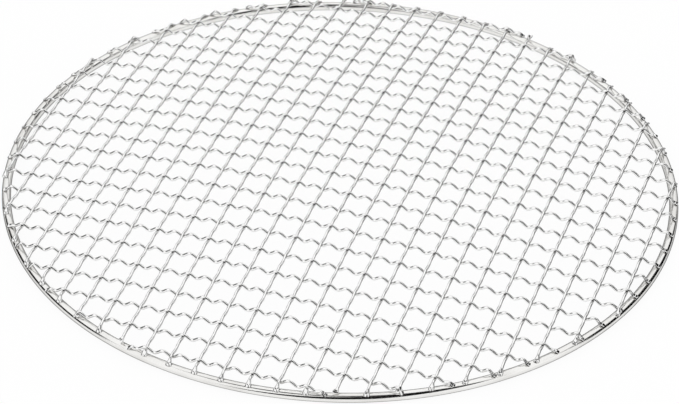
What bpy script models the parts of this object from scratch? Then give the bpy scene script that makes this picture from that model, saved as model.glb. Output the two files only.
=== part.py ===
"""A round domed grill net of bright stainless wire.

Warp and weft wires pass over and under each other in a plain weave. Their ends lie on a ring of thick round rod,
where they are welded. Lengths are in metres, +Z is up, and the ring lies on z = 0 round the origin.
"""

import math

import bmesh
import bpy
from mathutils import Matrix, Vector

# Driving dimensions
RIM_DIAMETER = 0.300  # outside of the ring
RIM_ROD = 0.004  # thickness of the ring's rod
NET_WIRE = 0.0012  # thickness of a woven wire
WARP_PITCH = 0.0117  # spacing of the warp wires, which run along Y
WEFT_PITCH = 0.0119  # spacing of the weft wires, which run along X
DOME_RISE = 0.0103  # from the net's edge up to its middle
DOME_POWER = 1.5  # 1 is a bowl that is steepest at the ring, more makes the edge flatter
EDGE_SPACE = 0.004  # least room between an outermost wire and the middle of the ring's rod
END_SETBACK = 0.0007  # from the ring's outer edge in to the cut end of a wire
TOUCH_GAP = 0.0003  # left between pieces that touch
FALL_SLOPE = 0.25  # steepest fall of a wire from its last crossing to the ring

# Smoothness of the round pieces
RIM_STEPS = 72
RIM_SIDES = 12
WIRE_BEVEL_RESOLUTION = 1  # six sides

# Sizes that follow
RIM_RADIUS = (RIM_DIAMETER - RIM_ROD) / 2  # middle of the rod
RIM_INSIDE = RIM_RADIUS - RIM_ROD / 2
CUT_RADIUS = RIM_DIAMETER / 2 - END_SETBACK
CRIMP = (NET_WIRE + TOUCH_GAP) / 2  # how far a wire swings above and below the net's middle surface
SEAT_HEIGHT = RIM_ROD + TOUCH_GAP + NET_WIRE / 2  # middle of a wire that lies on the ring
EDGE_HEIGHT = SEAT_HEIGHT + CRIMP  # the net's middle surface over the ring
CROSSING_REACH = NET_WIRE + TOUCH_GAP  # a wire that ends this close to another still has to clear it


def clear_scene():
    """Remove every object that the scene holds."""
    for old in list(bpy.data.objects):
        bpy.data.objects.remove(old, do_unlink=True)


def steel(name, colour, roughness):
    """A bare metal."""
    material = bpy.data.materials.new(name)
    material.use_nodes = True
    shader = material.node_tree.nodes["Principled BSDF"]
    shader.inputs["Base Color"].default_value = (*colour, 1.0)
    shader.inputs["Metallic"].default_value = 1.0
    shader.inputs["Roughness"].default_value = roughness
    return material


def add_piece(name, data, material, parent):
    """Put a mesh or a curve into the scene as one named piece."""
    data.materials.append(material)
    piece = bpy.data.objects.new(name, data)
    bpy.context.collection.objects.link(piece)
    piece.parent = parent
    return piece


def rim_ring(material, parent):
    """The ring: one rod bent round and butt welded, with a narrow flat under it to stand on."""
    shape = bmesh.new()
    corner_radius = RIM_ROD / 2 / math.cos(math.pi / RIM_SIDES)
    corners = []
    for side in range(RIM_SIDES):
        angle = 2 * math.pi * (side + 0.5) / RIM_SIDES
        radius = RIM_RADIUS + corner_radius * math.cos(angle)
        height = RIM_ROD / 2 + corner_radius * math.sin(angle)
        corners.append(shape.verts.new((radius, 0.0, height)))
    for side in range(RIM_SIDES):
        shape.edges.new((corners[side - 1], corners[side]))
    bmesh.ops.spin(
        shape,
        geom=shape.verts[:] + shape.edges[:],
        cent=Vector(),
        axis=Vector((0, 0, 1)),
        angle=2 * math.pi,
        steps=RIM_STEPS,
        use_merge=True,
    )
    bmesh.ops.recalc_face_normals(shape, faces=shape.faces)
    mesh = bpy.data.meshes.new("rim_ring")
    shape.to_mesh(mesh)
    shape.free()
    mesh.shade_smooth()
    add_piece("rim_ring", mesh, material, parent)


def net_height(x, y):
    """Height of the net's middle surface over a point of the plan."""
    share = max(0.0, 1 - (x * x + y * y) / RIM_RADIUS**2)
    return EDGE_HEIGHT + DOME_RISE * share**DOME_POWER


def wires_beside_middle(pitch):
    """How many wires fit on each side of the middle one."""
    return int((RIM_RADIUS - EDGE_SPACE) / pitch)


def half_length(offset):
    """From the middle of a wire, that far off centre, to its cut end."""
    return math.sqrt(CUT_RADIUS**2 - offset**2)


def half_path(number, own_pitch, other_pitch, over_if_even):
    """Distance along a wire and height, from the wire's middle out to its cut end."""
    offset = number * own_pitch
    end = half_length(offset)
    path = []
    for crossed in range(wires_beside_middle(other_pitch) + 1):
        along = crossed * other_pitch
        both_reach = along < end + CROSSING_REACH and abs(offset) < half_length(along) + CROSSING_REACH
        if not both_reach:
            break
        over = ((number + crossed) % 2 == 0) == over_if_even
        path.append((along, net_height(along, offset) + (CRIMP if over else -CRIMP)))

    # Beyond its last crossing the wire falls to the ring, reaching it at the rod's inner side or later.
    along, height = path[-1]
    fall = (height - SEAT_HEIGHT) / FALL_SLOPE
    at_ring = math.sqrt(max(0.0, RIM_INSIDE**2 - offset**2))
    landing = max(along + fall, at_ring)
    if landing > along:
        path.append((landing, SEAT_HEIGHT))
    path.append((end + NET_WIRE + landing, SEAT_HEIGHT))
    return cut_path(path, end)


def cut_path(path, end):
    """The part of a path that lies before its end, with a point right at the end."""
    kept = [point for point in path if point[0] < end]
    before, after = path[len(kept) - 1], path[len(kept)]
    share = (end - before[0]) / (after[0] - before[0])
    kept.append((end, before[1] + share * (after[1] - before[1])))
    return kept


def wire(name, half, place, material, parent):
    """One woven wire, the same to both sides of its middle, running along its own X."""
    mirrored = [(-along, height) for along, height in half[:0:-1]]
    points = mirrored + half
    curve = bpy.data.curves.new(name, "CURVE")
    curve.dimensions = "3D"
    curve.twist_mode = "Z_UP"
    curve.bevel_depth = NET_WIRE / 2
    curve.bevel_resolution = WIRE_BEVEL_RESOLUTION
    curve.use_fill_caps = True
    spline = curve.splines.new("POLY")
    spline.points.add(len(points) - 1)
    for point, (along, height) in zip(spline.points, points):
        point.co = (along, 0.0, height, 1.0)
    piece = add_piece(name, curve, material, parent)
    piece.matrix_local = place


def warp_wires(material, parent):
    """The wires that run along Y, counted from -X to +X. The middle one lies over the middle weft wire."""
    beside = wires_beside_middle(WARP_PITCH)
    for number in range(-beside, beside + 1):
        half = half_path(number, WARP_PITCH, WEFT_PITCH, over_if_even=True)
        place = Matrix.Translation((number * WARP_PITCH, 0, 0)) @ Matrix.Rotation(math.pi / 2, 4, "Z")
        wire(f"warp_wire_{number + beside + 1:02d}", half, place, material, parent)


def weft_wires(material, parent):
    """The wires that run along X, counted from -Y to +Y."""
    beside = wires_beside_middle(WEFT_PITCH)
    for number in range(-beside, beside + 1):
        half = half_path(number, WEFT_PITCH, WARP_PITCH, over_if_even=False)
        place = Matrix.Translation((0, number * WEFT_PITCH, 0))
        wire(f"weft_wire_{number + beside + 1:02d}", half, place, material, parent)


def main():
    """Build the net on one empty that carries all its pieces."""
    clear_scene()
    net = bpy.data.objects.new("grill_net", None)
    bpy.context.collection.objects.link(net)
    rod_steel = steel("rim_rod_steel", (0.72, 0.71, 0.69), roughness=0.25)
    wire_steel = steel("net_wire_steel", (0.80, 0.80, 0.79), roughness=0.2)
    rim_ring(rod_steel, net)
    warp_wires(wire_steel, net)
    weft_wires(wire_steel, net)


main()
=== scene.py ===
"""Round domed grill net of bright stainless wire, dressed for a studio picture.

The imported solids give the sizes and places. Finely crimped wires with welded ends and a smooth ring stand for
the plain solids, on a white floor in soft light, seen from the photograph's angle.
Lengths are in metres, +Z is up.
"""

from __future__ import annotations

import logging
import math
from dataclasses import dataclass
from enum import Enum
from typing import Union

import bpy
from mathutils import Matrix, Vector

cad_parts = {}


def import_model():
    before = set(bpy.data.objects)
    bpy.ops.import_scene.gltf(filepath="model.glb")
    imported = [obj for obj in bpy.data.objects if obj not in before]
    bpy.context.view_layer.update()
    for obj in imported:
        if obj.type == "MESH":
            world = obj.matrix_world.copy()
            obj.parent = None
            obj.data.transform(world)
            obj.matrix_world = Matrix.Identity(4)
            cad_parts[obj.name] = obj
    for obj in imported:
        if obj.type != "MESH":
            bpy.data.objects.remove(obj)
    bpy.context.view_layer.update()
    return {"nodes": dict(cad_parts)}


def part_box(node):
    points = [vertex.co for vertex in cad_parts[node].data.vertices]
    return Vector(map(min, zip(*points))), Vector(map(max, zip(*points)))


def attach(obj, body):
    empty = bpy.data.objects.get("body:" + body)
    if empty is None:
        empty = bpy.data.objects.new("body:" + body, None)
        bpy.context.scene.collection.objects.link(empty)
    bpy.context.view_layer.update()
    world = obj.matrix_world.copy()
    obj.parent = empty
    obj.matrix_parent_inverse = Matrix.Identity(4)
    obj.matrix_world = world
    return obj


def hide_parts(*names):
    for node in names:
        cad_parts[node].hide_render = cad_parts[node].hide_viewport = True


LOG = logging.getLogger("grill_net")
BODY = "root"
MIDDLE_WIRE = "warp_wire_13"

Term = Union["Value", float]
Tone = tuple[float, float, float]
Colour = Union[Tone, bpy.types.NodeSocket]


@dataclass(frozen=True)
class Value:
    """A number in a node tree that is written into formulas like an ordinary one.

    Args:
        tree: The node tree that holds it.
        socket: The output that gives it.
    """

    tree: bpy.types.NodeTree
    socket: bpy.types.NodeSocket

    def __add__(self, other: Term) -> Value:
        """Sum."""
        return formula(self.tree, "ADD", self, other)

    def __sub__(self, other: Term) -> Value:
        """Difference."""
        return formula(self.tree, "SUBTRACT", self, other)

    def __rsub__(self, other: Term) -> Value:
        """Difference from a plain number."""
        return formula(self.tree, "SUBTRACT", other, self)

    def __mul__(self, other: Term) -> Value:
        """Product."""
        return formula(self.tree, "MULTIPLY", self, other)

    def __truediv__(self, other: Term) -> Value:
        """Quotient."""
        return formula(self.tree, "DIVIDE", self, other)

    def __pow__(self, other: Term) -> Value:
        """Power."""
        return formula(self.tree, "POWER", self, other)

    __radd__ = __add__
    __rmul__ = __mul__

    def cosine(self) -> Value:
        """Cosine of an angle in radians."""
        return formula(self.tree, "COSINE", self)

    def size(self) -> Value:
        """The number without its sign."""
        return formula(self.tree, "ABSOLUTE", self)

    def at_least(self, low: Term) -> Value:
        """The larger of the number and a limit."""
        return formula(self.tree, "MAXIMUM", self, low)

    def at_most(self, high: Term) -> Value:
        """The smaller of the number and a limit."""
        return formula(self.tree, "MINIMUM", self, high)

    def ramp(self, low: Term, high: Term, start: Term = 0.0, stop: Term = 1.0) -> Value:
        """A smooth step.

        Args:
            low: Where the step begins.
            high: Where it ends.
            start: The result up to low.
            stop: The result from high on.

        Returns:
            The stepped number.
        """
        node = self.tree.nodes.new("ShaderNodeMapRange")
        node.interpolation_type = "SMOOTHSTEP"
        for socket, term in zip(node.inputs, (self, low, high, start, stop)):
            feed(self.tree, socket, term)
        return Value(self.tree, node.outputs[0])


def feed(tree: bpy.types.NodeTree, socket: bpy.types.NodeSocket, term: Term) -> None:
    """Link a value to a socket, or write a plain number into it.

    Args:
        tree: The node tree.
        socket: The input to fill.
        term: What goes in.
    """
    if isinstance(term, Value):
        tree.links.new(term.socket, socket)
    else:
        socket.default_value = term


def formula(tree: bpy.types.NodeTree, operation: str, *terms: Term) -> Value:
    """One step of arithmetic in a node tree.

    Args:
        tree: The node tree.
        operation: The math node's operation.
        *terms: Values or plain numbers, in the operation's order.

    Returns:
        The result.
    """
    node = tree.nodes.new("ShaderNodeMath")
    node.operation = operation
    for socket, term in zip(node.inputs, terms):
        feed(tree, socket, term)
    return Value(tree, node.outputs[0])


def joined(tree: bpy.types.NodeTree, x: Term, y: Term, z: Term) -> bpy.types.NodeSocket:
    """Three numbers as one vector.

    Args:
        tree: The node tree.
        x: First part.
        y: Second part.
        z: Third part.

    Returns:
        The vector output.
    """
    node = tree.nodes.new("ShaderNodeCombineXYZ")
    for socket, term in zip(node.inputs, (x, y, z)):
        feed(tree, socket, term)
    return node.outputs[0]


def split(tree: bpy.types.NodeTree, vector: bpy.types.NodeSocket) -> tuple[Value, Value, Value]:
    """A vector as its three numbers.

    Args:
        tree: The node tree.
        vector: The output to take apart.

    Returns:
        Its X, Y and Z.
    """
    node = tree.nodes.new("ShaderNodeSeparateXYZ")
    tree.links.new(vector, node.inputs[0])
    x, y, z = (Value(tree, socket) for socket in node.outputs)
    return x, y, z


class ShapeTree:
    """A Geometry Nodes tree with named inputs, ending in plain geometry with a material."""

    def __init__(self, name: str) -> None:
        """Start an empty tree.

        Args:
            name: The tree's name.
        """
        self.tree = bpy.data.node_groups.new(name, "GeometryNodeTree")
        self.tree.interface.new_socket("Geometry", in_out="OUTPUT", socket_type="NodeSocketGeometry")
        self._group_input = self.tree.nodes.new("NodeGroupInput")
        self._material = self.add_input("Finish", "NodeSocketMaterial")

    def add_input(self, name: str, kind: str = "NodeSocketFloat") -> Value:
        """Add a named input.

        Args:
            name: The input's name.
            kind: Its socket type.

        Returns:
            The input as a value.
        """
        self.tree.interface.new_socket(name, in_out="INPUT", socket_type=kind)
        return Value(self.tree, self._group_input.outputs[name])

    def node(self, kind: str, **links: object) -> bpy.types.Node:
        """Add a node and fill its inputs.

        Args:
            kind: The node's type.
            **links: Input name, with _ for a space, to a socket, a value or a constant.

        Returns:
            The node.
        """
        node = self.tree.nodes.new(kind)
        for name, source in links.items():
            self.fill(node.inputs[name.replace("_", " ")], source)
        return node

    def fill(self, socket: bpy.types.NodeSocket, source: object) -> None:
        """Link or set one input.

        Args:
            socket: The input.
            source: A socket, a value or a constant.
        """
        if isinstance(source, Value):
            source = source.socket
        if isinstance(source, bpy.types.NodeSocket):
            self.tree.links.new(source, socket)
        else:
            socket.default_value = source

    def store(
        self, geometry: bpy.types.NodeSocket, name: str, source: object, kind: str
    ) -> bpy.types.NodeSocket:
        """Keep a value on the points under a name.

        Args:
            geometry: The geometry.
            name: The attribute's name.
            source: What to keep.
            kind: FLOAT or FLOAT_VECTOR.

        Returns:
            The geometry with the attribute.
        """
        node = self.tree.nodes.new("GeometryNodeStoreNamedAttribute")
        node.data_type = kind
        node.domain = "POINT"
        self.fill(node.inputs["Geometry"], geometry)
        node.inputs["Name"].default_value = name
        self.fill(node.inputs["Value"], source)
        return node.outputs["Geometry"]

    def named(self, name: str) -> Value:
        """Read a number that was kept on the points."""
        node = self.tree.nodes.new("GeometryNodeInputNamedAttribute")
        node.data_type = "FLOAT"
        node.inputs["Name"].default_value = name
        return Value(self.tree, node.outputs["Attribute"])

    def position(self) -> tuple[Value, Value, Value]:
        """The points' own X, Y and Z."""
        return split(self.tree, self.tree.nodes.new("GeometryNodeInputPosition").outputs[0])

    def finish(self, geometry: bpy.types.NodeSocket) -> None:
        """Realize the geometry, give it its material and end the tree.

        Args:
            geometry: The geometry to end with.
        """
        plain = self.node("GeometryNodeRealizeInstances", Geometry=geometry)
        dressed = self.node("GeometryNodeSetMaterial", Geometry=plain.outputs[0], Material=self._material)
        end = self.tree.nodes.new("NodeGroupOutput")
        self.tree.links.new(dressed.outputs[0], end.inputs[0])

    def grow(
        self,
        name: str,
        finish: bpy.types.Material,
        sizes: dict[str, float],
        sharp: float = math.radians(50),
    ) -> bpy.types.Object:
        """Run the tree and keep its result as a plain mesh object at the origin.

        Args:
            name: The piece's name.
            finish: Its material.
            sizes: Input name to number.
            sharp: Angle between faces above which an edge stays sharp.

        Returns:
            The piece.
        """
        seed = bpy.data.objects.new(name + "_seed", bpy.data.meshes.new(name + "_seed"))
        bpy.context.collection.objects.link(seed)
        modifier = seed.modifiers.new("shape", "NODES")
        modifier.node_group = self.tree
        values: dict[str, object] = {**sizes, "Finish": finish}
        for item in self.tree.interface.items_tree:
            if item.in_out == "INPUT" and item.name in values:
                modifier[item.identifier] = values[item.name]
        evaluated = seed.evaluated_get(bpy.context.evaluated_depsgraph_get())
        mesh = bpy.data.meshes.new_from_object(evaluated)
        seed.modifiers.remove(modifier)
        bpy.data.objects.remove(seed, do_unlink=True)
        mesh.name = name
        mesh.shade_smooth()
        mesh.set_sharp_from_angle(angle=sharp)
        piece = bpy.data.objects.new(name, mesh)
        bpy.context.collection.objects.link(piece)
        return piece


@dataclass(frozen=True)
class DrawnSteel:
    """Bright stainless steel with the fine lines of the drawing die along it.

    Args:
        name: The material's name.
        bright: Colour of the clean metal.
        dull: Colour of the duller patches.
        edge: Share of the light that the metal keeps at a grazing angle.
        roughness: Least and most roughness.
        line_width: Width of a die line across the wire.
        line_length: Length of a die line along the wire.
        line_depth: Height of the die lines.
        patch: Size of a duller patch.
        marks: Attribute on the points to the colour of the mark that it places.
        rough_from: Sum of the two noises at which the roughness starts to grow.
        rough_to: Sum at which it is full.
        dull_from: Noise at which a patch begins.
        dull_to: Noise at which it is full.
        detail: Octaves of the noises.
        relief: Share of the die lines' height that shows.
    """

    name: str
    bright: Tone
    dull: Tone
    edge: float
    roughness: tuple[float, float]
    line_width: float
    line_length: float
    line_depth: float
    patch: float
    marks: tuple[tuple[str, Tone], ...] = ()
    rough_from: float = 0.6
    rough_to: float = 1.4
    dull_from: float = 0.35
    dull_to: float = 0.75
    detail: float = 2.0
    relief: float = 0.5

    def material(self) -> bpy.types.Material:
        """Build the material."""
        material = bpy.data.materials.new(self.name)
        material.use_nodes = True
        tree = material.node_tree
        shader = tree.nodes["Principled BSDF"]
        shader.inputs["Metallic"].default_value = 1.0
        shader.inputs["Specular Tint"].default_value = (self.edge, self.edge, self.edge, 1.0)
        lines = self._noise(tree, (1 / self.line_length, 1 / self.line_width, 1 / self.line_width))
        patches = self._noise(tree, (1 / self.patch,) * 3)
        feed(tree, shader.inputs["Roughness"], self._roughness(lines, patches))
        tree.links.new(self._colour(tree, patches), shader.inputs["Base Color"])
        bump = tree.nodes.new("ShaderNodeBump")
        bump.inputs["Strength"].default_value = self.relief
        bump.inputs["Distance"].default_value = self.line_depth
        feed(tree, bump.inputs["Height"], lines)
        tree.links.new(bump.outputs[0], shader.inputs["Normal"])
        return material

    def _noise(self, tree: bpy.types.NodeTree, scale: tuple[float, float, float]) -> Value:
        """Noise along the metal.

        Args:
            tree: The material's tree.
            scale: Features per metre along and across the wire.

        Returns:
            The noise, from 0 to 1.
        """
        drawn = tree.nodes.new("ShaderNodeAttribute")
        drawn.attribute_name = "drawn"
        mapping = tree.nodes.new("ShaderNodeMapping")
        mapping.inputs["Scale"].default_value = scale
        tree.links.new(drawn.outputs["Vector"], mapping.inputs["Vector"])
        noise = tree.nodes.new("ShaderNodeTexNoise")
        noise.inputs["Scale"].default_value = 1.0
        noise.inputs["Detail"].default_value = self.detail
        tree.links.new(mapping.outputs[0], noise.inputs["Vector"])
        return Value(tree, noise.outputs[0])

    def _roughness(self, lines: Value, patches: Value) -> Value:
        """Roughness from the die lines and the duller patches."""
        least, most = self.roughness
        return (lines + patches).ramp(self.rough_from, self.rough_to, least, most)

    def _colour(self, tree: bpy.types.NodeTree, patches: Value) -> bpy.types.NodeSocket:
        """Clean metal with duller patches, and its marks.

        Args:
            tree: The material's tree.
            patches: Noise that places the patches.

        Returns:
            The colour output.
        """
        colour = mixed(tree, patches.ramp(self.dull_from, self.dull_to), self.bright, self.dull)
        for mark, marked in self.marks:
            attribute = tree.nodes.new("ShaderNodeAttribute")
            attribute.attribute_name = mark
            colour = mixed(tree, Value(tree, attribute.outputs["Fac"]), colour, marked)
        return colour


def mixed(tree: bpy.types.NodeTree, share: Value, first: Colour, second: Colour) -> bpy.types.NodeSocket:
    """A blend of two colours.

    Args:
        tree: The node tree.
        share: How much of the second.
        first: One colour.
        second: The other.

    Returns:
        The colour output.
    """
    node = tree.nodes.new("ShaderNodeMix")
    node.data_type = "RGBA"
    feed(tree, node.inputs["Factor"], share)
    for name, colour in (("A", first), ("B", second)):
        socket = [s for s in node.inputs if s.name == name and s.type == "RGBA"][0]
        if isinstance(colour, bpy.types.NodeSocket):
            tree.links.new(colour, socket)
        else:
            socket.default_value = (*colour, 1.0)
    return [s for s in node.outputs if s.type == "RGBA"][0]


@dataclass
class Ring:
    """The ring of thick rod, sized from its solid.

    Args:
        radius: From the middle of the net to the middle of the rod.
        rod: Thickness of the rod.
        steps: Segments round the ring.
        sides: Segments round the rod.
    """

    radius: float
    rod: float
    steps: int = 360
    sides: int = 28

    @classmethod
    def from_frame(cls) -> Ring:
        """Read the ring's sizes from its solid."""
        low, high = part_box("rim_ring")
        rod = high[2] - low[2]
        return cls(radius=high[0] - rod / 2, rod=rod)

    def build(self, finish: bpy.types.Material) -> bpy.types.Object:
        """Make the smooth rod in place of the faceted one.

        Args:
            finish: The rod's material.

        Returns:
            The ring.
        """
        shape = ShapeTree("bent_rod")
        radius = shape.add_input("Ring radius")
        rod = shape.add_input("Rod thickness")
        circle = shape.node("GeometryNodeCurvePrimitiveCircle", Resolution=self.steps, Radius=radius)
        profile = shape.node("GeometryNodeCurvePrimitiveCircle", Resolution=self.sides, Radius=rod * 0.5)
        tube = shape.node(
            "GeometryNodeCurveToMesh", Curve=circle.outputs[0], Profile_Curve=profile.outputs[0]
        )
        lift = joined(shape.tree, 0.0, 0.0, rod * 0.5)
        raised = shape.node("GeometryNodeSetPosition", Geometry=tube.outputs[0], Offset=lift)
        x, y, z = shape.position()
        angle = formula(shape.tree, "ARCTAN2", y, x).size()
        out = (x * x + y * y) ** 0.5 - radius
        drawn = joined(shape.tree, angle * radius, out, z - rod * 0.5)
        kept = shape.store(raised.outputs[0], "drawn", drawn, "FLOAT_VECTOR")
        shape.finish(kept)
        piece = shape.grow("ring_rod", finish, {"Ring radius": self.radius, "Rod thickness": self.rod})
        return stand_for(piece, "rim_ring")


class Run(Enum):
    """The two sets of woven wires."""

    WARP = "warp"
    WEFT = "weft"

    @property
    def turn(self) -> float:
        """Angle from X to the way the wires run."""
        return math.pi / 2 if self is Run.WARP else 0.0

    @property
    def across(self) -> int:
        """The axis that the wires are spaced along."""
        return 0 if self is Run.WARP else 1

    @property
    def other(self) -> Run:
        """The set that these wires cross."""
        return Run.WEFT if self is Run.WARP else Run.WARP

    @property
    def over_if_even(self) -> bool:
        """Whether these wires pass over where the two wires' numbers add up to an even one."""
        return self is Run.WARP


@dataclass
class WovenNet:
    """The domed net of crimped wires, woven over and under each other.

    Args:
        ring: The ring that the wires end on.
        wire: Thickness of a wire.
        crown: Height of the net's top.
        warp_swing: How far a warp wire swings to each side of the net's middle surface.
        weft_swing: The same of a weft wire.
        mean_swing: The same of every plain solid.
        dome_power: How much flatter than a plain bowl the dome's edge is.
        crimps: Half waves of a wire from one crossing to the next.
        sink: How deep the weld presses a wire's end into the ring.
        fall: Way along a wire down to its seat on the ring, where there is room for it.
        least_fall: The same where the last crossing is close to the end.
        contact_shade_reach: From a crossing to the end of its painted contact shade, along the wire.
        weld_length: Stretch of a wire's end that the weld flattens.
        weld_full: Share of that stretch, at the tip, that is flattened fully.
        weld_spread: Share by which the weld widens the end.
        weld_squeeze: Share by which the weld lowers it.
        dent_depth: Depth of the dent that the weld leaves along the end.
        dent_width: Half width of that dent.
        tip: Length over which the end is rounded off.
        tip_round: Share of a full half circle that the rounding reaches, which leaves a small cap.
        tip_extra: Length of wire whose segments are added to those of each tip.
        step: Length of a wire's segments.
        sides: Segments round a wire.
    """

    ring: Ring
    wire: float
    crown: float
    warp_swing: float = 0.0003
    weft_swing: float = 0.00092
    mean_swing: float = 0.00075
    dome_power: float = 1.5
    crimps: int = 3
    sink: float = 0.00025
    fall: float = 0.0030
    least_fall: float = 0.0018
    contact_shade_reach: float = 0.0010
    weld_length: float = 0.0030
    weld_full: float = 0.3
    weld_spread: float = 1.0
    weld_squeeze: float = 0.40
    dent_depth: float = 0.0005
    dent_width: float = 0.0003
    tip: float = 0.0006
    tip_round: float = 0.97
    tip_extra: float = 0.0018
    step: float = 0.00045
    sides: int = 12

    @classmethod
    def from_frame(cls, ring: Ring) -> WovenNet:
        """Read the wires' sizes from the solids.

        Args:
            ring: The ring that they end on.

        Returns:
            The net.
        """
        low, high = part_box(MIDDLE_WIRE)
        return cls(ring=ring, wire=high[0] - low[0], crown=high[2])

    @property
    def edge(self) -> float:
        """Height of the net's middle surface over the ring."""
        low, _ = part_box(MIDDLE_WIRE)
        return low[2] + self.wire / 2 + self.mean_swing

    @property
    def rise(self) -> float:
        """Height of the dome."""
        return self.crown - self.wire / 2 - self.mean_swing - self.edge

    def shape_tree(self) -> ShapeTree:
        """The rule that every wire follows.

        Returns:
            A tree that makes one crimped wire from its sizes.
        """
        shape = ShapeTree("crimped_wire")
        half = shape.add_input("Half length")
        offset = shape.add_input("Offset")
        pitch = shape.add_input("Crossing pitch")
        swing = shape.add_input("Middle swing")
        leaving = shape.add_input("Leaving")
        landing = shape.add_input("Landing")
        contact_shade_end = shape.add_input("Contact shade end")
        count = shape.add_input("Points", "NodeSocketInt")
        tree = shape.tree

        line = shape.node(
            "GeometryNodeCurvePrimitiveLine",
            Start=joined(tree, half * -1.0 - self.tip_extra, 0.0, 0.0),
            End=joined(tree, half + self.tip_extra, 0.0, 0.0),
        )
        dense = shape.node("GeometryNodeResampleCurve", Curve=line.outputs[0], Count=count)
        along = self._closer_at_tips(shape, half)
        reach = along * along + offset * offset
        share = (1.0 - reach / self.ring.radius**2).at_least(0.0)
        surface = share**self.dome_power * self.rise + self.edge
        wave = (along * (self.crimps * math.pi) / pitch).cosine() * swing
        landed = along.size().ramp(leaving, landing)
        height = (surface + wave) * (1.0 - landed) + landed * self._seat(reach)
        bent = shape.node(
            "GeometryNodeSetPosition", Geometry=dense.outputs[0], Position=joined(tree, along, 0.0, height)
        )
        _, _, axis = shape.position()
        kept = shape.store(bent.outputs[0], "along", along, "FLOAT")
        kept = shape.store(kept, "under", self._under(along, pitch, wave, contact_shade_end), "FLOAT")
        kept = shape.store(kept, "axis_height", axis, "FLOAT")
        upright = shape.node("GeometryNodeSetCurveNormal", Curve=kept)
        upright.mode = "Z_UP"
        profile = shape.node("GeometryNodeCurvePrimitiveCircle", Resolution=self.sides, Radius=self.wire / 2)
        tube = shape.node(
            "GeometryNodeCurveToMesh",
            Curve=upright.outputs[0],
            Profile_Curve=profile.outputs[0],
            Fill_Caps=True,
        )

        x, y, z = shape.position()
        run, middle = shape.named("along"), shape.named("axis_height")
        weld = run.size().ramp(half - self.weld_length, half - self.weld_length * self.weld_full)
        past = ((run.size() - (half - self.tip)) / self.tip).at_least(0.0).at_most(self.tip_round)
        round_off = (1.0 - past * past) ** 0.5
        wide = y * (1.0 + weld * self.weld_spread) * round_off
        dent = (1.0 - (y / self.dent_width).size()).at_least(0.0) * weld * self.dent_depth
        dented = (z - middle).ramp(0.0, self.wire / 2, 0.0, dent)
        low = middle + (z - middle) * (1.0 - weld * self.weld_squeeze) * round_off - dented
        drawn = shape.store(tube.outputs[0], "drawn", joined(tree, run, y, z - middle), "FLOAT_VECTOR")
        heated = shape.store(drawn, "weld", weld, "FLOAT")
        # Painted shade: near black on the upper half of the wire where another wire passes over it, standing in
        # for that wire's shadow.
        contact_shade = shape.named("under") * (z - middle).ramp(0.0, self.wire / 2)
        contact_shaded = shape.store(heated, "contact_shade", contact_shade, "FLOAT")
        pressed = shape.node("GeometryNodeSetPosition", Geometry=contact_shaded, Position=joined(tree, x, wide, low))
        geometry = pressed.outputs[0]
        for name in ("along", "axis_height", "under"):
            geometry = without(shape, geometry, name)
        shape.finish(geometry)
        return shape

    def _under(self, along: Value, pitch: Value, wave: Value, contact_shade_end: Value) -> Value:
        """How close a point of the wire is to a crossing where it passes under; this places the painted contact
        shade.

        Args:
            along: Distance from the wire's middle.
            pitch: Spacing of the wires that it crosses.
            wave: The wire's swing there.
            contact_shade_end: Distance from the wire's middle to the end of its last painted contact shade.

        Returns:
            One at the crossing, nought away from it.
        """
        nearest = formula(along.tree, "ROUND", along / pitch) * pitch
        close = (along - nearest).size().ramp(self.contact_shade_reach / 2, self.contact_shade_reach, 1.0, 0.0)
        crossed = along.size().ramp(contact_shade_end, contact_shade_end + self.contact_shade_reach, 1.0, 0.0)
        return close * wave.ramp(-self.warp_swing / 2, 0.0, 1.0, 0.0) * crossed

    def _closer_at_tips(self, shape: ShapeTree, half: Value) -> Value:
        """Distance along the wire, with the points of the last stretch drawn together at the two ends.

        Args:
            shape: The wire's tree.
            half: Half the wire's length.

        Returns:
            The distance from the wire's middle.
        """
        spread, _, _ = shape.position()
        closer = self.tip / (self.tip + self.tip_extra)
        tip_start = half - self.tip
        drawn_in = tip_start + (spread.size() - tip_start) * closer
        return spread.size().at_most(drawn_in) * formula(shape.tree, "SIGN", spread)

    def _seat(self, reach: Value) -> Value:
        """Height of a welded wire's middle, level on the rod's inner half and bent down over its outer half.

        Args:
            reach: Squared distance from the middle of the net.

        Returns:
            The height.
        """
        out = (reach**0.5 - self.ring.radius).at_least(0.0)
        bend = self.ring.rod / 2 + self.wire / 2 - self.sink
        return (bend**2 - out * out).at_least(0.0) ** 0.5 + self.ring.rod / 2

    def sizes(
        self, run: Run, number: int, offset: float, half: float, pitch: float, wires: int
    ) -> dict[str, float]:
        """The sizes of one wire.

        Args:
            run: The set that it belongs to.
            number: Its place counted from the middle wire.
            offset: Its distance from the middle.
            half: Half its length.
            pitch: Spacing of the wires that it crosses.
            wires: How many of those lie on each side of the middle.

        Returns:
            Input name to number.
        """
        reach = half + self.wire
        ways = [pitch * crossed for crossed in range(wires + 1)]
        met = [way for way in ways if way < reach and math.hypot(way, offset) < self.cut + self.wire]
        # Crossings that get the painted contact shade, away from the welded ends.
        contact_shaded = [way for way in met if math.hypot(way, offset) < self.cut - self.weld_length]
        last = met[-1]
        swing = self.warp_swing if run is Run.WARP else self.weft_swing
        over_middle = (number % 2 == 0) == run.over_if_even
        landing = max(half - self.tip, last + self.least_fall)
        return {
            "Half length": half,
            "Offset": offset,
            "Crossing pitch": pitch,
            "Middle swing": swing if over_middle else -swing,
            "Leaving": max(last, landing - self.fall),
            "Landing": landing,
            "Contact shade end": contact_shaded[-1] + self.contact_shade_reach,
            "Points": int(2 * (half + self.tip_extra) / self.step),
        }

    @property
    def cut(self) -> float:
        """Radius that the wires' ends are cut on."""
        _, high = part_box(MIDDLE_WIRE)
        return high[1]

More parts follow.
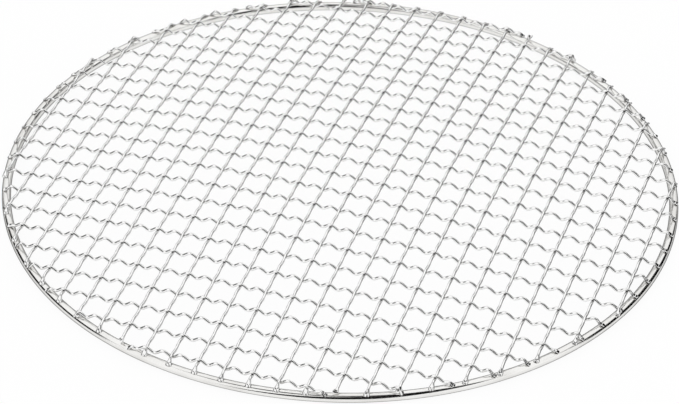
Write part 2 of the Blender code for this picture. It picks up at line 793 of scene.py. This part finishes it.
    def build(self, finish: bpy.types.Material, nodes: list[str]) -> list[bpy.types.Object]:
        """Make every wire in place of its plain solid.

        Args:
            finish: The wires' material.
            nodes: The names of all the solids.

        Returns:
            The wires.
        """
        shape = self.shape_tree()
        middles = {run: wire_middles(run, nodes) for run in Run}
        pieces = []
        for run in Run:
            beside = len(middles[run]) // 2
            crossed = middles[run.other]
            pitch = (crossed[-1] - crossed[0]) / (len(crossed) - 1)
            for place, offset in enumerate(middles[run]):
                node = f"{run.value}_wire_{place + 1:02d}"
                _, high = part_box(node)
                half = high[run.other.across]
                sizes = self.sizes(run, place - beside, offset, half, pitch, len(crossed) // 2)
                piece = shape.grow(f"{run.value}_crimped_{place + 1:02d}", finish, sizes)
                shift = Vector((0, 0, 0))
                shift[run.across] = offset
                piece.data.transform(Matrix.Translation(shift) @ Matrix.Rotation(run.turn, 4, "Z"))
                pieces.append(stand_for(piece, node))
        return pieces


def without(shape: ShapeTree, geometry: bpy.types.NodeSocket, name: str) -> bpy.types.NodeSocket:
    """Drop a helper attribute.

    Args:
        shape: The tree.
        geometry: The geometry.
        name: The attribute's name.

    Returns:
        The geometry without it.
    """
    return shape.node("GeometryNodeRemoveAttribute", Geometry=geometry, Name=name).outputs[0]


def wire_middles(run: Run, nodes: list[str]) -> list[float]:
    """Where the wires of one set lie, from the first to the last.

    Args:
        run: The set.
        nodes: The names of all the solids.

    Returns:
        Each wire's distance from the middle of the net.
    """
    boxes = [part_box(name) for name in sorted(nodes) if name.startswith(run.value)]
    return [(low[run.across] + high[run.across]) / 2 for low, high in boxes]


def stand_for(piece: bpy.types.Object, node: str) -> bpy.types.Object:
    """Let a finished piece take a solid's place.

    Args:
        piece: The piece.
        node: The solid's node.

    Returns:
        The piece.
    """
    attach(piece, BODY)
    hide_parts(node)
    return piece


@dataclass(frozen=True)
class Camera:
    """The photograph's point of view, fitted to the net's crossings and the ring's outline.

    Args:
        azimuth: Degrees round from looking along +Y.
        elevation: Degrees above the floor.
        roll: Degrees that the camera is turned about its own axis.
        distance: From the aim to the camera.
        focal: Focal length in pixels of the photograph.
        aim: The point of the floor in the middle of the picture.
        width: The photograph's width in pixels.
        sensor: The camera's sensor width in millimetres.
    """

    azimuth: float = 18.288
    elevation: float = 36.08
    roll: float = 1.462
    distance: float = 1.278
    focal: float = 2886.9
    aim: tuple[float, float, float] = (0.00322, -0.0106, 0.0)
    width: int = 679
    sensor: float = 36.0

    def place(self) -> bpy.types.Object:
        """Put the camera into the scene."""
        data = bpy.data.cameras.new("photo_camera")
        data.sensor_fit = "HORIZONTAL"
        data.sensor_width = self.sensor
        data.lens = self.focal * self.sensor / self.width
        camera = bpy.data.objects.new("photo_camera", data)
        bpy.context.collection.objects.link(camera)
        a, e, r = (math.radians(v) for v in (self.azimuth, self.elevation, self.roll))
        back = Vector((math.sin(a) * math.cos(e), -math.cos(a) * math.cos(e), math.sin(e)))
        level = Vector((math.cos(a), math.sin(a), 0.0))
        above = back.cross(level)
        right = level * math.cos(r) + above * math.sin(r)
        up = above * math.cos(r) - level * math.sin(r)
        turned = Matrix((right, up, back)).transposed().to_4x4()
        camera.matrix_world = Matrix.Translation(Vector(self.aim) + back * self.distance) @ turned
        bpy.context.scene.camera = camera
        return camera


Direction = tuple[Value, Value, Value]
STRAIGHT_UP = 1e-9  # keeps a direction that points straight up from being divided by nought


@dataclass(frozen=True)
class Gap:
    """A dark gap between the white walls of the room, which draws the dark lines along the metal.

    Args:
        azimuth: Degrees round from the front, -Y, towards +X, to the gap's middle.
        half_width: Degrees from its middle to its side.
        bottom: Degrees above the floor to its lower edge.
        top: Degrees above the floor to its upper edge.
        soft: Degrees over which its edges fade.
        depth: Share of the room's light that is missing in it.
        lean: Degrees that its lower and upper edges rise towards +X, about its middle.
    """

    azimuth: float
    half_width: float
    bottom: float
    top: float
    soft: float
    depth: float
    lean: float = 0.0

    def passed(self, direction: Direction) -> Value:
        """Share of the room's light that comes from a direction."""
        x, y, z = direction
        middle = math.radians(self.azimuth)
        across = (x * x + y * y + STRAIGHT_UP) ** 0.5
        facing = (x * math.sin(middle) - y * math.cos(middle)) / across
        outer, inner = (math.cos(math.radians(self.half_width + grow)) for grow in (self.soft, 0.0))
        edges = (self.bottom - self.soft, self.bottom, self.top, self.top + self.soft)
        low_out, low_in, high_in, high_out = (math.sin(math.radians(edge)) for edge in edges)
        aside = x * math.cos(middle) + y * math.sin(middle)
        height = z - aside * math.tan(math.radians(self.lean))
        within = height.ramp(low_out, low_in) * height.ramp(high_in, high_out, self.depth, 0.0)
        return 1.0 - facing.ramp(outer, inner) * within


@dataclass(frozen=True)
class Studio:
    """A white floor in an evenly lit room, with dark gaps between its walls that draw the metal's edges.

    Args:
        gaps: The dark gaps between the room's white walls.
        floor_size: Width of the floor.
        floor_grey: The floor's own colour.
        room_light: Strength of the room's light.
        wall_light: Strength of the white walls in the metal.
        shade_keep: Share of the floor's own shading that is seen.
    """

    gaps: tuple[Gap, ...]
    floor_size: float = 8.0
    floor_grey: float = 0.96
    room_light: float = 1.0
    wall_light: float = 1.06
    shade_keep: float = 0.1

    def build(self) -> None:
        """Make the floor, the room and the view settings."""
        bpy.context.scene.view_settings.view_transform = "Standard"
        self._floor()
        self._room()

    def _floor(self) -> None:
        """The floor, white to the camera and in the metal, which keeps a faint shadow."""
        half = self.floor_size / 2
        mesh = bpy.data.meshes.new("floor")
        corners = [(-half, -half, 0.0), (half, -half, 0.0), (half, half, 0.0), (-half, half, 0.0)]
        mesh.from_pydata(corners, [], [(0, 1, 2, 3)])
        floor = bpy.data.objects.new("floor", mesh)
        bpy.context.collection.objects.link(floor)
        material = bpy.data.materials.new("white_floor")
        material.use_nodes = True
        tree = material.node_tree
        tree.nodes.clear()
        own = tree.nodes.new("ShaderNodeBsdfDiffuse")
        own.inputs["Color"].default_value = (self.floor_grey,) * 3 + (1.0,)
        white = tree.nodes.new("ShaderNodeEmission")
        blend = tree.nodes.new("ShaderNodeMixShader")
        feed(tree, blend.inputs[0], LightPath(tree).seen() * (1.0 - self.shade_keep))
        tree.links.new(own.outputs[0], blend.inputs[1])
        tree.links.new(white.outputs[0], blend.inputs[2])
        end = tree.nodes.new("ShaderNodeOutputMaterial")
        tree.links.new(blend.outputs[0], end.inputs["Surface"])
        mesh.materials.append(material)

    def _room(self) -> None:
        """The white room round the floor, with the dark gaps that only the metal shows."""
        world = bpy.data.worlds.new("white_room")
        world.use_nodes = True
        bpy.context.scene.world = world
        tree = world.node_tree
        background = tree.nodes["Background"]
        background.inputs["Color"].default_value = (1.0, 1.0, 1.0, 1.0)
        direction = split(tree, tree.nodes.new("ShaderNodeTexCoord").outputs["Generated"])
        mirrored = LightPath(tree).mirrored()
        walls = mirrored * self.wall_light
        for gap in self.gaps:
            walls = walls * gap.passed(direction)
        feed(tree, background.inputs["Strength"], walls + (1.0 - mirrored) * self.room_light)


class LightPath:
    """What kind of ray meets a surface."""

    def __init__(self, tree: bpy.types.NodeTree) -> None:
        """Add the node that tells rays apart.

        Args:
            tree: The node tree.
        """
        node = tree.nodes.new("ShaderNodeLightPath")
        self._camera = Value(tree, node.outputs["Is Camera Ray"])
        self._glossy = Value(tree, node.outputs["Is Glossy Ray"])
        self._through = Value(tree, node.outputs["Is Transmission Ray"])

    def seen(self) -> Value:
        """One for what the camera sees, straight, in metal or through glass."""
        return self._camera.at_least(self.mirrored())

    def mirrored(self) -> Value:
        """One for what is seen in metal or through glass."""
        return self._glossy.at_least(self._through)


def main() -> None:
    """Dress the net piece by piece, then light it."""
    logging.basicConfig(level=logging.INFO, format="%(name)s: %(message)s")
    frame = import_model()
    wire_steel = DrawnSteel(
        name="bright_wire",
        bright=(0.93, 0.93, 0.925),
        dull=(0.89, 0.888, 0.882),
        edge=0.0,
        roughness=(0.04, 0.09),
        line_width=0.00012,
        line_length=0.006,
        line_depth=0.000002,
        patch=0.012,
        # The weld mark dulls the welded ends; the second mark is painted shade, near black where a wire passes
        # under another.
        marks=(("weld", (0.88, 0.877, 0.87)), ("contact_shade", (0.09, 0.088, 0.085))),
    )
    rod_steel = DrawnSteel(
        name="bright_rod",
        bright=(0.87, 0.865, 0.85),
        dull=(0.78, 0.77, 0.75),
        edge=0.0,
        roughness=(0.12, 0.18),
        line_width=0.00018,
        line_length=0.012,
        line_depth=0.000004,
        patch=0.02,
    )
    Camera().place()
    ring = Ring.from_frame()
    LOG.info("ring: %s", ring.build(rod_steel.material()).name)
    for piece in WovenNet.from_frame(ring).build(wire_steel.material(), list(frame["nodes"])):
        LOG.info("wire: %s, %d faces", piece.name, len(piece.data.polygons))
    gaps = (
        Gap(azimuth=0, half_width=70, bottom=-60, top=28, soft=2, depth=1.0, lean=59),
        Gap(azimuth=5, half_width=65, bottom=62, top=84, soft=2, depth=0.9),
        Gap(azimuth=128, half_width=28, bottom=0, top=38, soft=2, depth=1.0),
        Gap(azimuth=272, half_width=30, bottom=0, top=29, soft=2, depth=1.0),
    )
    Studio(gaps).build()


if __name__ == "__main__":
    main()
